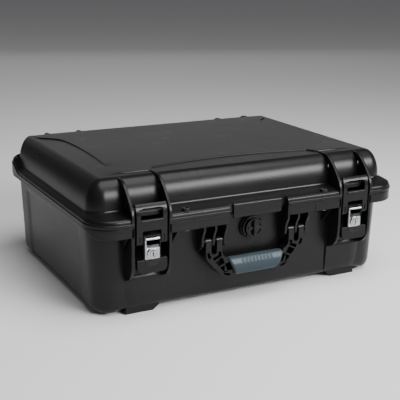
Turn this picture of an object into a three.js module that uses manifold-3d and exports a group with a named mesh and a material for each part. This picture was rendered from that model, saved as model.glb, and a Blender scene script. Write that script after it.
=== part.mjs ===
// A hard equipment case: a moulded base and lid on two rear hinges, two over-centre latches with key locks,
// a drop-down carrying handle with a rubber grip, a pressure valve, a lid gasket and foam liners.
// Millimetres, +Z up. X runs along the long side and the front faces -Y. The origin is on the floor, under
// the middle of the case.

import * as THREE from "three";
import { mergeVertices } from "three/addons/utils/BufferGeometryUtils.js";
import Module from "manifold-3d";

const wasm = await Module();
wasm.setup();

// ---- Driving dimensions -------------------------------------------------------------------------------

const WALL = 4; // moulded wall thickness
const PARTING_Z = 150; // top of the base rim, where the lid closes

const LIP = { x: 280, front: -222, rear: 216, radius: 45 }; // outer edge of the lid's lip
const CROWN = { x: 269, front: -188, rear: 194, radius: 26, rearRadius: 33 }; // lid wall above its shelf
const CROWN_EDGE = 26; // roll of the lid's top edge along its front and ends
const REAR_EDGE = 12; // and along its rear
const CAMBER = 2; // how far the flat of the lid rises towards its middle
const TOP_Z = 216.6;
const LIP_TOP_Z = 157;
const LEDGE_Z = 168.6; // where the sloping shelf above the lip meets the crown
const REAR_LIP_Z = 172; // the lip is taller along the rear, above the hinges
const REAR_LEDGE_Z = 184;

const TUB = { x: 268.4, front: -194.3, rear: 204, radius: 40 }; // base walls at the rim
const TUB_DRAFT = 4.4; // how far the walls come in towards the floor
const FLOOR_Z = 9; // underside of the base
const CORNER_SAG = 4; // how much lower the underside reaches at its corners
const FLOOR_EDGE = 14; // roll of the bottom edge
const RIM = { x: 279, front: -221, rear: 214.5, radius: 44 }; // outer edge of the base rim
const RIM_THICK = 4.5;
const BAND_Z = 134; // lower edge of the deep band along the front of the rim

const BAY_X = 185.5; // middle of each latch
const HINGE_X = 178; // middle of each hinge
const BAY_HALF = 28; // half the space between a bay's two fins
const FIN_THICK = 5;

const HANDLE = { x: 76, y: -205.5, z: 106.5 }; // pivot of each handle arm
const LEVER = { y: -208, z: 126 }; // pivot of each latch lever
const CLAW = { y: -216.4, z: 124.6 }; // pivot of each latch claw on its lever
const HINGE = { y: 219.1, z: PARTING_Z, radius: 5.5, pin: 2.5 };
const LOCK = { z: 107, radius: 8.5 };
const VALVE_Z = 117;
const EYELET = { x: 126, y: -213, hole: 4 };
const EYELET_TOP_Z = 167.6;
const NOTCH_HALF = 53; // half the finger notch in the middle of the front

// ---- Materials ----------------------------------------------------------------------------------------

const plastic = new THREE.MeshStandardMaterial({ color: 0x1d1d1f, roughness: 0.5, metalness: 0 });
const latchPlastic = new THREE.MeshStandardMaterial({ color: 0x222224, roughness: 0.42, metalness: 0 });
const gripRubber = new THREE.MeshStandardMaterial({ color: 0x4a5c68, roughness: 0.6, metalness: 0 });
const sealRubber = new THREE.MeshStandardMaterial({ color: 0x111111, roughness: 0.8, metalness: 0 });
const steel = new THREE.MeshStandardMaterial({ color: 0xb8babd, roughness: 0.3, metalness: 1 });
const foam = new THREE.MeshStandardMaterial({ color: 0x2c2c2e, roughness: 1, metalness: 0 });

// ---- Solids -------------------------------------------------------------------------------------------

// A closed three.js geometry as a manifold-3d solid, ready for cutting and joining.
function solid(geometry) {
  const bare = geometry.index ? geometry.toNonIndexed() : geometry.clone();
  bare.deleteAttribute("normal");
  bare.deleteAttribute("uv");
  const merged = mergeVertices(bare, 1e-4);
  const mesh = new wasm.Mesh({
    numProp: 3,
    vertProperties: merged.attributes.position.array,
    triVerts: new Uint32Array(merged.index.array),
  });
  return new wasm.Manifold(mesh);
}

function geometryOf(made) {
  const mesh = made.getMesh();
  const geometry = new THREE.BufferGeometry();
  geometry.setAttribute("position", new THREE.BufferAttribute(mesh.vertProperties, 3));
  geometry.setIndex(new THREE.BufferAttribute(mesh.triVerts, 1));
  geometry.computeVertexNormals();
  return geometry;
}

const join = (...solids) => solids.reduce((all, one) => all.add(one));
const cut = (from, ...tools) => tools.reduce((left, tool) => left.subtract(tool), from);

function box(x0, x1, y0, y1, z0, z1) {
  const geometry = new THREE.BoxGeometry(x1 - x0, y1 - y0, z1 - z0);
  return solid(geometry.translate((x0 + x1) / 2, (y0 + y1) / 2, (z0 + z1) / 2));
}

// Round bars along each axis, from one end to the other.
function barX(radius, x0, x1, y, z, sides = 16) {
  const geometry = new THREE.CylinderGeometry(radius, radius, x1 - x0, sides).rotateZ(Math.PI / 2);
  return solid(geometry.translate((x0 + x1) / 2, y, z));
}

function barY(radius, y0, y1, x, z, sides = 24) {
  return solid(new THREE.CylinderGeometry(radius, radius, y1 - y0, sides).translate(x, (y0 + y1) / 2, z));
}

function barZ(radius, z0, z1, x, y, sides = 20) {
  const geometry = new THREE.CylinderGeometry(radius, radius, z1 - z0, sides).rotateX(Math.PI / 2);
  return solid(geometry.translate(x, y, (z0 + z1) / 2));
}

// A plate whose outline is drawn in the YZ plane, from x0 to x1.
function plateX(outline, x0, x1) {
  const shape = new THREE.Shape(outline.map(([y, z]) => new THREE.Vector2(y, z)));
  const geometry = new THREE.ExtrudeGeometry(shape, { depth: x1 - x0, bevelEnabled: false });
  const toRow = new THREE.Matrix4().makeBasis(
    new THREE.Vector3(0, 1, 0),
    new THREE.Vector3(0, 0, 1),
    new THREE.Vector3(1, 0, 0),
  );
  return solid(geometry.applyMatrix4(toRow).translate(x0, 0, 0));
}

// A plate whose shape is drawn in the XZ plane, from y0 (front) to y1 (back).
function plateY(shape, y0, y1) {
  const settings = { depth: y1 - y0, bevelEnabled: false, curveSegments: 5 };
  const geometry = new THREE.ExtrudeGeometry(shape, settings);
  return solid(geometry.rotateX(Math.PI / 2).translate(0, y1, 0));
}

// One ring of a rounded rectangle at height z, anticlockwise from above.
function ring({ x, front, rear, radius, rearRadius = radius }, z, inset = 0, corner = 6) {
  const r = Math.max(radius - inset, 3);
  const rr = Math.max(rearRadius - inset, 3);
  const corners = [
    [x - inset - r, front + inset + r, -90, r],
    [x - inset - rr, rear - inset - rr, 0, rr],
    [-x + inset + rr, rear - inset - rr, 90, rr],
    [-x + inset + r, front + inset + r, 180, r],
  ];
  return corners.flatMap(([cx, cy, start, turn]) =>
    Array.from({ length: corner + 1 }, (_, i) => {
      const angle = THREE.MathUtils.degToRad(start + (90 * i) / corner);
      return [cx + turn * Math.cos(angle), cy + turn * Math.sin(angle), z];
    }),
  );
}

// A closed solid through rings stacked upwards, capped flat at both ends.
function loft(rings) {
  const count = rings[0].length;
  const points = rings.flat(2);
  const index = [];
  for (let level = 0; level + 1 < rings.length; level++) {
    for (let i = 0; i < count; i++) {
      const a = level * count + i;
      const b = level * count + ((i + 1) % count);
      index.push(a, b, b + count, a, b + count, a + count);
    }
  }
  const top = (rings.length - 1) * count;
  for (let i = 1; i + 1 < count; i++) {
    index.push(0, i + 1, i);
    index.push(top, top + i, top + i + 1);
  }
  const geometry = new THREE.BufferGeometry();
  geometry.setAttribute("position", new THREE.Float32BufferAttribute(points, 3));
  geometry.setIndex(index);
  return solid(geometry);
}

const slab = (outline, z0, z1, inset = 0) => loft([ring(outline, z0, inset), ring(outline, z1, inset)]);

// The rings of a rolled edge, from upright at z to flat at z + roll.
function rolledEdge(outline, z, roll, rearRoll = roll, steps = 5) {
  return Array.from({ length: steps + 1 }, (_, i) => {
    const angle = (i / steps) * (Math.PI / 2);
    const tighter = (roll - rearRoll) * (1 - Math.cos(angle));
    const turned = { ...outline, rear: outline.rear + tighter };
    return ring(turned, z + roll * Math.sin(angle), roll * (1 - Math.cos(angle)));
  });
}

const both = (make) => [-1, 1].map(make); // the left and the right of a mirrored pair
const span = (side, near, far) => (side < 0 ? [-far, -near] : [near, far]);

// The two fins beside a latch or a hinge, drawn in the YZ plane.
function fins(outline, side, middle = BAY_X) {
  const near = middle - BAY_HALF - FIN_THICK;
  const far = middle + BAY_HALF;
  return join(
    plateX(outline, ...span(side, near, near + FIN_THICK)),
    plateX(outline, ...span(side, far, far + FIN_THICK)),
  );
}

const mirrorY = (outline) => outline.map(([y, z]) => [-y, z]).reverse();

// ---- Lid ----------------------------------------------------------------------------------------------

const LID_BOTTOM_Z = PARTING_Z + 0.6;
const GASKET_PATH = { x: 274.5, front: -199, rear: 210.5, radius: 40 }; // outer edge of the gasket groove
const GASKET_WIDE = 5;

function lidShell() {
  const rollZ = TOP_Z - CAMBER - CROWN_EDGE;
  const outside = loft([
    ring(LIP, LID_BOTTOM_Z),
    ring(LIP, LIP_TOP_Z),
    ring(LIP, LIP_TOP_Z + 3.5, 2.2),
    ring(LIP, LIP_TOP_Z + 5.6, 6),
    ring(CROWN, LEDGE_Z),
    ...rolledEdge(CROWN, rollZ, CROWN_EDGE, REAR_EDGE),
    ring(CROWN, TOP_Z - 0.6, 60),
    ring(CROWN, TOP_Z, 110),
  ]);
  const opening = { x: 264.4, front: -190.3, rear: 200, radius: 36 };
  const crownInside = {
    x: CROWN.x - WALL,
    front: CROWN.front + WALL,
    rear: CROWN.rear - WALL,
    radius: CROWN.radius - WALL,
    rearRadius: CROWN.rearRadius - WALL,
  };
  const inside = loft([
    ring(opening, PARTING_Z - 2),
    ring(opening, LIP_TOP_Z + 3),
    ring(crownInside, LIP_TOP_Z + 8),
    ...rolledEdge(crownInside, rollZ, CROWN_EDGE - WALL, REAR_EDGE - WALL),
  ]);
  const underShelf = [
    [-218, PARTING_Z - 2],
    [-203, PARTING_Z - 2],
    [-203, LIP_TOP_Z + 4],
    [-215, LIP_TOP_Z + 1.6],
    [-218, LIP_TOP_Z - 1],
  ];
  const frontFin = [
    [-150, 208],
    [-186, 200],
    [-186, LID_BOTTOM_Z],
    [-222, LID_BOTTOM_Z],
    [-222.4, 166],
    [-217, 178],
    [-209, 189.5],
    [-199, 201],
    [-187, 211],
    [-173, 216.2],
    [-150, 216.6],
  ];
  const rearFin = [
    [150, 216.6],
    [190, 216.6],
    [199, 213],
    [206, 205],
    [211.5, 194],
    [215, 180],
    [215.6, LID_BOTTOM_Z],
    [196, LID_BOTTOM_Z],
    [189, 164],
    [189, 200],
    [150, 208],
  ];
  const strike = [
    [-203, 161.5],
    [-203, 167],
    [-206, 171],
    [-209.5, 171.5],
    [-212, 169.5],
    [-212, LID_BOTTOM_Z],
    [-207, LID_BOTTOM_Z],
  ];
  const bays = both((side) => join(fins(frontFin, side), fins(rearFin, side, HINGE_X)));
  const rearLip = loft([
    ring(LIP, LID_BOTTOM_Z),
    ring(LIP, REAR_LIP_Z - 2),
    ring(LIP, REAR_LIP_Z, 1.5),
    ring(CROWN, REAR_LEDGE_Z),
  ]).intersect(box(-300, 300, 172, 240, LID_BOTTOM_Z, REAR_LEDGE_Z + 1));
  const knuckles = both((side) => lidKnuckles(side));
  const strikes = both((side) => plateX(strike, ...span(side, BAY_X - BAY_HALF - 1, BAY_X + BAY_HALF + 1)));
  const plaque = join(
    box(-44, 44, -215.8, -212.2, 141, 165),
    box(-44, 44, -214, -203.5, LID_BOTTOM_Z, 158),
    plateX([[-216, 160], [-213, 158], [-203, 160], [-203, 163.6], [-212, 165], [-215.8, 165]], -44, 44),
  );
  const bosses = both((side) => barZ(6.4, LID_BOTTOM_Z, EYELET_TOP_Z, side * EYELET.x, EYELET.y - 0.4));

  const latchNotches = both((side) =>
    box(...span(side, BAY_X - BAY_HALF, BAY_X + BAY_HALF), -240, -212, PARTING_Z - 12, 200),
  );
  const fingerNotch = box(-NOTCH_HALF, NOTCH_HALF, -240, -212, PARTING_Z - 12, 173);
  const groove = cut(
    slab(GASKET_PATH, PARTING_Z, PARTING_Z + 3.6),
    slab(GASKET_PATH, PARTING_Z - 1, PARTING_Z + 4, GASKET_WIDE),
  );
  const hingeSlots = both((side) => knuckleSlots(baseKnuckleSpans(side), PARTING_Z - 8, PARTING_Z + 7));
  const eyeletHoles = both((side) =>
    join(
      barZ(EYELET.hole + 1.2, PARTING_Z - 1, 180, side * EYELET.x, EYELET.y),
      barZ(EYELET.hole + 2.2, EYELET_TOP_Z - 1.2, 180, side * EYELET.x, EYELET.y),
    ),
  );

  const shell = cut(join(outside, rearLip), ...latchNotches, fingerNotch, plateX(underShelf, -262, 262));
  const body = cut(join(shell, ...bays), inside);
  return cut(
    join(body, plaque, ...strikes, ...bosses, ...knuckles),
    groove,
    ...hingeSlots,
    ...eyeletHoles,
  );
}

// ---- Hinges -------------------------------------------------------------------------------------------

const KNUCKLE = 10; // width of one knuckle
const KNUCKLE_STEP = 12;

function baseKnuckleSpans(side) {
  return [-2, 0, 2].map((i) => {
    const middle = side * HINGE_X + i * KNUCKLE_STEP;
    return [middle - KNUCKLE / 2, middle + KNUCKLE / 2];
  });
}

function lidKnuckleSpans(side) {
  return [-1, 1].map((i) => {
    const middle = side * HINGE_X + i * KNUCKLE_STEP;
    return [middle - KNUCKLE / 2, middle + KNUCKLE / 2];
  });
}

// Clearance cut in one half of the case for the other half's knuckles.
function knuckleSlots(spans, z0, z1) {
  return join(...spans.map(([x0, x1]) => box(x0 - 0.6, x1 + 0.6, HINGE.y - 7, 240, z0, z1)));
}

function knuckle(x0, x1, arm) {
  const barrel = barX(HINGE.radius, x0, x1, HINGE.y, HINGE.z, 20);
  return cut(join(barrel, arm), barX(HINGE.pin + 0.35, x0 - 1, x1 + 1, HINGE.y, HINGE.z, 20));
}

function lidKnuckles(side) {
  const made = lidKnuckleSpans(side).map(([x0, x1]) =>
    knuckle(x0, x1, box(x0, x1, LIP.rear - 8, HINGE.y, LID_BOTTOM_Z, HINGE.z + HINGE.radius)),
  );
  return join(...made);
}

function baseKnuckles(side) {
  const made = baseKnuckleSpans(side).map(([x0, x1]) =>
    knuckle(x0, x1, box(x0, x1, RIM.rear - 10, HINGE.y, HINGE.z - HINGE.radius, HINGE.z)),
  );
  return join(...made);
}

const hingePin = (side) => barX(HINGE.pin, side * HINGE_X - 29, side * HINGE_X + 29, HINGE.y, HINGE.z, 20);

// ---- Base ---------------------------------------------------------------------------------------------

// How much of the corners' sag a point of the underside takes: all of it at a corner, none in the middle.
function cornerShare(x, y) {
  const alongX = THREE.MathUtils.smoothstep(Math.abs(x), 215, 245);
  return alongX * THREE.MathUtils.smoothstep(Math.abs(y - 5), 150, 175);
}

// The tub's rings from the floor to the rim, thinner by the wall for its inside.
function tubRings(wall, topZ) {
  const low = {
    x: TUB.x - TUB_DRAFT,
    front: TUB.front + TUB_DRAFT,
    rear: TUB.rear - TUB_DRAFT,
    radius: TUB.radius - 2,
  };
  const edge = [0, 1, 2, 3].map((i) => {
    const angle = (i / 3) * (Math.PI / 2);
    const z = FLOOR_Z + wall + FLOOR_EDGE * (1 - Math.cos(angle));
    const sag = wall ? 0 : CORNER_SAG * Math.cos(angle);
    const points = ring(low, z, wall + 8 * (1 - Math.sin(angle)));
    return points.map(([px, py, pz]) => [px, py, pz - sag * cornerShare(px, py)]);
  });
  return [...edge, ring(TUB, topZ, wall)];
}

function frontBand() {
  const band = cut(slab(RIM, BAND_Z, PARTING_Z), slab(RIM, BAND_Z - 1, PARTING_Z + 1, 3.2));
  const behind = [
    [-212, BAND_Z - 5],
    [-212, BAND_Z],
    [-176, PARTING_Z - RIM_THICK],
    [240, PARTING_Z - RIM_THICK],
    [240, BAND_Z - 5],
  ];
  return cut(band, plateX(behind, -300, 300));
}

function handleBracket(side) {
  const rib = [
    [-190, PARTING_Z - 2],
    [-190, 88],
    [-196, 88],
    [-210.5, 100],
    [-211.5, 110],
    [-218.5, 126],
    [-218.5, PARTING_Z - 2],
  ];
  const ribs = [-1, 0, 1].map((i) => {
    const middle = side * HANDLE.x + i * 19.5;
    return plateX(rib, middle - 2, middle + 2);
  });
  const bore = barX(2.85, side * HANDLE.x - 30, side * HANDLE.x + 30, HANDLE.y, HANDLE.z);
  return cut(join(...ribs), bore);
}

function foot(side, end) {
  const [x0, x1] = span(side, BAY_X - BAY_HALF + 1, BAY_X + BAY_HALF - 1);
  const [y0, y1] = end < 0 ? [-186, -157] : [167, 196];
  const middle = (x0 + x1) / 2;
  const outline = { x: (x1 - x0) / 2, front: y0, rear: y1, radius: 5 };
  const rings = [ring(outline, 0, 1.5, 2), ring(outline, 2, 0, 2), ring(outline, FLOOR_Z + 6, 0, 2)];
  return loft(rings.map((points) => points.map(([x, y, z]) => [x + middle, y, z])));
}

function baseShell() {
  const outside = loft(tubRings(0, PARTING_Z));
  const inside = loft(tubRings(WALL, PARTING_Z + 1));
  const rim = slab(RIM, PARTING_Z - RIM_THICK, PARTING_Z);
  const latchFin = [
    [-188, PARTING_Z],
    [-188, 57],
    [-196, 60],
    [-208, 66],
    [-217, 76],
    [-220.6, 90],
    [-221, PARTING_Z],
  ];
  const rearRib = [
    [199, PARTING_Z],
    [214.5, PARTING_Z],
    [214.5, 140],
    [206, 118],
    [199, 112],
  ];
  const column = [
    [-180, 13],
    [-187.5, 13],
    [-192.6, 26],
    [-194.6, 64],
    [-186, 66],
  ];
  const gusset = [
    [-190, PARTING_Z - 2],
    [-190, 112],
    [-218.5, 136],
    [-218.5, PARTING_Z - 2],
  ];
  const columnSpan = (side) => span(side, BAY_X - BAY_HALF - FIN_THICK, BAY_X + BAY_HALF + FIN_THICK);
  const additions = both((side) =>
    join(
      fins(latchFin, side),
      fins(rearRib, side, HINGE_X),
      plateX(column, ...columnSpan(side)),
      plateX(mirrorY(column).map(([y, z]) => [y + 9.7, z]), ...columnSpan(side)),
      handleBracket(side),
      foot(side, -1),
      foot(side, 1),
      barZ(7.6, BAND_Z, PARTING_Z - 1, side * EYELET.x, EYELET.y),
      ...[140, 229].map((x) => plateX(gusset, ...span(side, x - 1.6, x + 1.6))),
    ),
  );
  const valveBoss = barY(21, TUB.front - 3, TUB.front + 3, 0, VALVE_Z, 32);
  const latchNotches = both((side) =>
    box(...span(side, BAY_X - BAY_HALF, BAY_X + BAY_HALF), -240, -209.2, BAND_Z - 2, PARTING_Z + 1),
  );
  const fingerNotch = box(-NOTCH_HALF - 1, NOTCH_HALF + 1, -240, -209.2, BAND_Z - 2, PARTING_Z + 1);
  const pinBores = both((side) =>
    barX(2.35, side * BAY_X - 40, side * BAY_X + 40, LEVER.y, LEVER.z),
  );
  const eyeletHoles = both((side) =>
    barZ(EYELET.hole + 1.2, BAND_Z - 2, PARTING_Z + 1, side * EYELET.x, EYELET.y),
  );
  const valveHole = barY(9, -230, -180, 0, VALVE_Z);

  const rimmed = cut(join(outside, rim, frontBand(), valveBoss), ...latchNotches, fingerNotch);
  const hingeSlots = both((side) => knuckleSlots(lidKnuckleSpans(side), PARTING_Z - 8, PARTING_Z + 1));
  const shell = cut(join(rimmed, ...additions), inside, ...hingeSlots);
  return cut(join(shell, ...both(baseKnuckles)), ...pinBores, ...eyeletHoles, valveHole);
}

// ---- Latches ------------------------------------------------------------------------------------------
// Each lever turns on a pin between the base's fins. Its claw turns on a second pin, in front of the first,
// so that pulling the foot of the lever out lifts the claw off the lid.

const LATCH_HALF = 25; // half the latch's width
const SPINE_HALF = 14; // half the width of the lever between the claw's arms

function latchLever(side) {
  const x = side * BAY_X;
  const outer = -221;
  const spine = [
    [-203.5, 122],
    [-204.5, 129.5],
    [-208, 131.2],
    [-214, 136],
    [outer + 1, 136],
    [outer, 134.5],
    [outer, 96],
    [-211.5, 96],
    [-211.5, 112],
  ];
  const tab = [
    [-211.5, 98],
    [outer, 98],
    [outer - 0.8, 88],
    [outer - 2.4, 79],
    [outer - 1.6, 77],
    [-214, 77],
    [-211.5, 80],
  ];
  const webs = [
    [-211.5, 98],
    [-211.5, 118],
    [-214.5, 118],
    [-214.5, 98],
  ];
  const body = join(
    plateX(spine, x - SPINE_HALF, x + SPINE_HALF),
    plateX(tab, x - LATCH_HALF, x + LATCH_HALF),
    plateX(webs, x - LATCH_HALF, x + LATCH_HALF),
  );
  const plateRecess = box(x - 12.4, x + 12.4, outer - 1, outer + 1.6, 97.6, 132.4);
  return cut(
    body,
    plateRecess,
    barX(2.35, x - 40, x + 40, LEVER.y, LEVER.z),
    barX(2.15, x - 40, x + 40, CLAW.y, CLAW.z),
    barY(LOCK.radius - 1.1, outer - 2, -213, x, LOCK.z),
  );
}

function latchClaw(side) {
  const x = side * BAY_X;
  const outline = [
    [-212.6, 183],
    [-213.4, 179.5],
    [-216, 168],
    [-216, 145],
    [-213.5, 141],
    [-212.4, 124.6],
    [-213.6, 121.2],
    [-216.4, 120.4],
    [-219.6, 121.4],
    [-221, 124.6],
    [-221.6, 168],
    [-219.4, 178],
    [-216, 182.4],
    [-213.6, 183.6],
  ];
  const window = plateY(new THREE.Shape([
    new THREE.Vector2(x - 14.5, 160),
    new THREE.Vector2(x + 14.5, 160),
    new THREE.Vector2(x + 18.2, 164.5),
    new THREE.Vector2(x + 18.2, 177.5),
    new THREE.Vector2(x - 18.2, 177.5),
    new THREE.Vector2(x - 18.2, 164.5),
  ]), -240, -200);
  const spineGap = box(x - SPINE_HALF - 1.2, x + SPINE_HALF + 1.2, -240, -200, 110, 140.5);
  return cut(
    plateX(outline, x - LATCH_HALF, x + LATCH_HALF),
    window,
    spineGap,
    barX(2.15, x - 40, x + 40, CLAW.y, CLAW.z),
  );
}

const leverPin = (side) =>
  barX(2, side * BAY_X - BAY_HALF - 4, side * BAY_X + BAY_HALF + 4, LEVER.y, LEVER.z);
const clawPin = (side) => barX(1.8, side * BAY_X - 24, side * BAY_X + 24, CLAW.y, CLAW.z);

// The steel plate and lock barrel set into the front of a lever, and the plug that the key turns.
function lockBarrel(side) {
  const x = side * BAY_X;
  const plate = box(x - 12, x + 12, -221.4, -219.8, 98, 132);
  const barrel = barY(LOCK.radius, -224, -221, x, LOCK.z);
  const shank = barY(LOCK.radius - 1.5, -222, -213.4, x, LOCK.z);
  return cut(join(plate, barrel, shank), barY(5.4, -226, -215.5, x, LOCK.z));
}

function lockPlug(side) {
  const x = side * BAY_X;
  const plug = barY(5, -224.6, -215.9, x, LOCK.z);
  return cut(plug, box(x - 0.8, x + 0.8, -226, -218, LOCK.z - 3.6, LOCK.z + 3.6));
}

// ---- Handle -------------------------------------------------------------------------------------------

const GRIP = { top: 75.5, bottom: 46, topHalf: 50.5, bottomHalf: 38, front: -220, back: -196.5 };

function handleFrame() {
  const outline = new THREE.Shape();
  outline.moveTo(90.5, HANDLE.z);
  outline.lineTo(90.5, 86);
  outline.bezierCurveTo(90.5, 80, 88, 77, 84, 72.5);
  outline.lineTo(66, 52);
  outline.bezierCurveTo(60, 45, 54, 44, 48, 44);
  outline.lineTo(GRIP.bottomHalf, 44);
  outline.lineTo(GRIP.bottomHalf + 0.5, GRIP.bottom);
  outline.lineTo(GRIP.topHalf + 0.5, GRIP.top);
  outline.lineTo(56, 78.5);
  outline.lineTo(61.5, 86);
  outline.lineTo(61.5, HANDLE.z);
  const mirrored = new THREE.Shape(outline.getPoints(5).map((p) => new THREE.Vector2(-p.x, p.y)).reverse());
  const arms = [outline, mirrored].map((shape) => plateY(shape, -212, -199));
  const bar = box(-58, 58, -213, -203, 54, 69);
  const knuckles = both((side) => barX(6.4, ...span(side, 61.5, 90.5), HANDLE.y, HANDLE.z, 20));
  const slots = both((side) => join(
    box(...span(side, 71.2, 80.8), -230, -190, 90, 120),
    barY(4.8, -230, -190, side * HANDLE.x, 90, 16),
  ));
  const bores = both((side) => barX(2.85, side * HANDLE.x - 30, side * HANDLE.x + 30, HANDLE.y, HANDLE.z));
  return cut(join(...arms, bar, ...knuckles), ...slots, ...bores);
}

function handleGrip() {
  const section = [];
  const middleY = (GRIP.front + GRIP.back) / 2;
  const middleZ = (GRIP.top + GRIP.bottom) / 2;
  const sides = 20;
  for (let i = 0; i < sides; i++) {
    const angle = (i / sides) * 2 * Math.PI;
    const squarer = (value) => Math.sign(value) * Math.abs(value) ** 0.75;
    section.push([
      middleY + squarer(Math.cos(angle)) * (GRIP.back - GRIP.front) / 2,
      middleZ + squarer(Math.sin(angle)) * (GRIP.top - GRIP.bottom) / 2,
    ]);
  }
  const ends = new THREE.Shape();
  ends.moveTo(-GRIP.bottomHalf, GRIP.bottom - 0.1);
  ends.lineTo(GRIP.bottomHalf, GRIP.bottom - 0.1);
  ends.lineTo(GRIP.topHalf, GRIP.top + 0.1);
  ends.lineTo(-GRIP.topHalf, GRIP.top + 0.1);
  const body = plateX(section, -60, 60).intersect(plateY(ends, -230, -190));
  return cut(body, box(-70, 70, -213.35, -202.65, 53.65, 69.35));
}

const handlePin = (side) => barX(2.5, ...span(side, HANDLE.x - 21, HANDLE.x + 21), HANDLE.y, HANDLE.z);

// ---- Pressure valve -----------------------------------------------------------------------------------

const VALVE_FACE = TUB.front - 3; // front of the boss that the valve screws through

function valveBody() {
  const flange = cut(barY(19, VALVE_FACE - 5, VALVE_FACE - 1.6, 0, VALVE_Z, 32),
    barY(15.6, VALVE_FACE - 6, VALVE_FACE - 3.2, 0, VALVE_Z, 32));
  const stem = barY(8.4, VALVE_FACE - 3.4, -182, 0, VALVE_Z);
  return cut(join(flange, stem), barY(3.4, VALVE_FACE - 10, -170, 0, VALVE_Z, 16));
}

function valveKnob() {
  const cap = barY(15, VALVE_FACE - 9, VALVE_FACE - 3.6, 0, VALVE_Z, 32);
  const wing = box(-3, 3, VALVE_FACE - 13, VALVE_FACE - 8, VALVE_Z - 13, VALVE_Z + 13);
  const stem = barY(3, VALVE_FACE - 4, -186, 0, VALVE_Z, 16);
  return join(cap, wing, stem);
}

function valveSeal() {
  const washer = barY(14, VALVE_FACE - 1.3, VALVE_FACE - 0.3, 0, VALVE_Z, 24);
  return cut(washer, barY(8.8, VALVE_FACE - 3, VALVE_FACE + 2, 0, VALVE_Z));
}

function valveNut() {
  return cut(barY(14, -188.2, -183.4, 0, VALVE_Z, 6), barY(8.75, -195, -180, 0, VALVE_Z));
}

// ---- Padlock eyelets ----------------------------------------------------------------------------------

function eyelet(side, z0, z1, headZ) {
  const x = side * EYELET.x;
  const tube = barZ(EYELET.hole + 0.9, z0, z1, x, EYELET.y);
  const head = barZ(EYELET.hole + 1.9, headZ, headZ + 1, x, EYELET.y);
  return cut(join(tube, head), barZ(EYELET.hole, z0 - 2, z1 + 2, x, EYELET.y));
}

// ---- Soft parts ---------------------------------------------------------------------------------------

const GASKET_INSET = 0.4;

function gasket() {
  const outer = slab(GASKET_PATH, PARTING_Z + 0.35, PARTING_Z + 3.3, GASKET_INSET);
  return cut(outer, slab(GASKET_PATH, PARTING_Z - 1, PARTING_Z + 5, GASKET_WIDE - GASKET_INSET));
}

const FOAM_POCKET = { x: 200, front: -120, rear: 130, radius: 14 };
const FOAM_OUTER = { x: 253, front: -179, rear: 189, radius: 24 };

const floorPad = () => slab({ ...FOAM_OUTER, x: 248, front: -174, rear: 184 }, 14.4, 28);

function foamBlock() {
  const block = loft([ring(FOAM_OUTER, 29, 0, 4), ring(FOAM_OUTER, 140, 0, 4)]);
  return cut(block, loft([ring(FOAM_POCKET, 48, 0, 4), ring(FOAM_POCKET, 150, 0, 4)]));
}

const lidFoam = () => slab({ x: 240, front: -160, rear: 164, radius: 20 }, 172, 209.6);

// ---- Assembly -----------------------------------------------------------------------------------------

const assembly = new THREE.Group();

function add(name, made, material) {
  const mesh = new THREE.Mesh(geometryOf(made), material);
  mesh.name = name;
  assembly.add(mesh);
}

add("base_shell", baseShell(), plastic);
add("lid_shell", lidShell(), plastic);
add("lid_gasket", gasket(), sealRubber);
add("floor_pad", floorPad(), foam);
add("foam_block", foamBlock(), foam);
add("lid_foam", lidFoam(), foam);
add("handle_frame", handleFrame(), latchPlastic);
add("handle_grip", handleGrip(), gripRubber);
add("valve_body", valveBody(), latchPlastic);
add("valve_knob", valveKnob(), latchPlastic);
add("valve_seal", valveSeal(), sealRubber);
add("valve_nut", valveNut(), latchPlastic);

for (const [side, name] of [[-1, "left"], [1, "right"]]) {
  add(`hinge_pin_${name}`, hingePin(side), steel);
  add(`handle_pin_${name}`, handlePin(side), steel);
  add(`latch_lever_${name}`, latchLever(side), latchPlastic);
  add(`latch_claw_${name}`, latchClaw(side), latchPlastic);
  add(`lever_pin_${name}`, leverPin(side), steel);
  add(`claw_pin_${name}`, clawPin(side), steel);
  add(`lock_barrel_${name}`, lockBarrel(side), steel);
  add(`lock_plug_${name}`, lockPlug(side), steel);
  add(`lid_eyelet_${name}`, eyelet(side, LID_BOTTOM_Z + 0.2, EYELET_TOP_Z, EYELET_TOP_Z - 0.7), steel);
  add(`base_eyelet_${name}`, eyelet(side, BAND_Z - 0.6, PARTING_Z - 0.4, BAND_Z - 1.4), steel);
}

export default assembly;
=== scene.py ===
import math
import bmesh
import bpy
from mathutils import Matrix, Vector


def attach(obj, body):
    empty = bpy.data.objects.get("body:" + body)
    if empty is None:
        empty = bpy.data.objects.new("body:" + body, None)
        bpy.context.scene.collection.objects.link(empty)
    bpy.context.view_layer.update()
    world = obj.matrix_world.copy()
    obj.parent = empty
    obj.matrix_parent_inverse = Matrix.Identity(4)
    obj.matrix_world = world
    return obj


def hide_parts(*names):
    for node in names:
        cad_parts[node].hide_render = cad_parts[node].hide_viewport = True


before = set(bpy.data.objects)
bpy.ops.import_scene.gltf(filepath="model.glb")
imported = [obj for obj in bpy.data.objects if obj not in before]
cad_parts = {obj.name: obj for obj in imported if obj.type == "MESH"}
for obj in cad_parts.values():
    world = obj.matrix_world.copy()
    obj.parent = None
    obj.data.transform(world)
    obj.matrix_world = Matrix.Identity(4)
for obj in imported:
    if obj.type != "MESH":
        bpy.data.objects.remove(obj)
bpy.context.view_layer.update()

# ---- Floor, light and camera ---------------------------------------------------------------------
# A plain pale floor that the case stands on, soft lamps above it, in front of it and behind it, and the
# camera, which looks a little down on its front and its left end.


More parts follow.
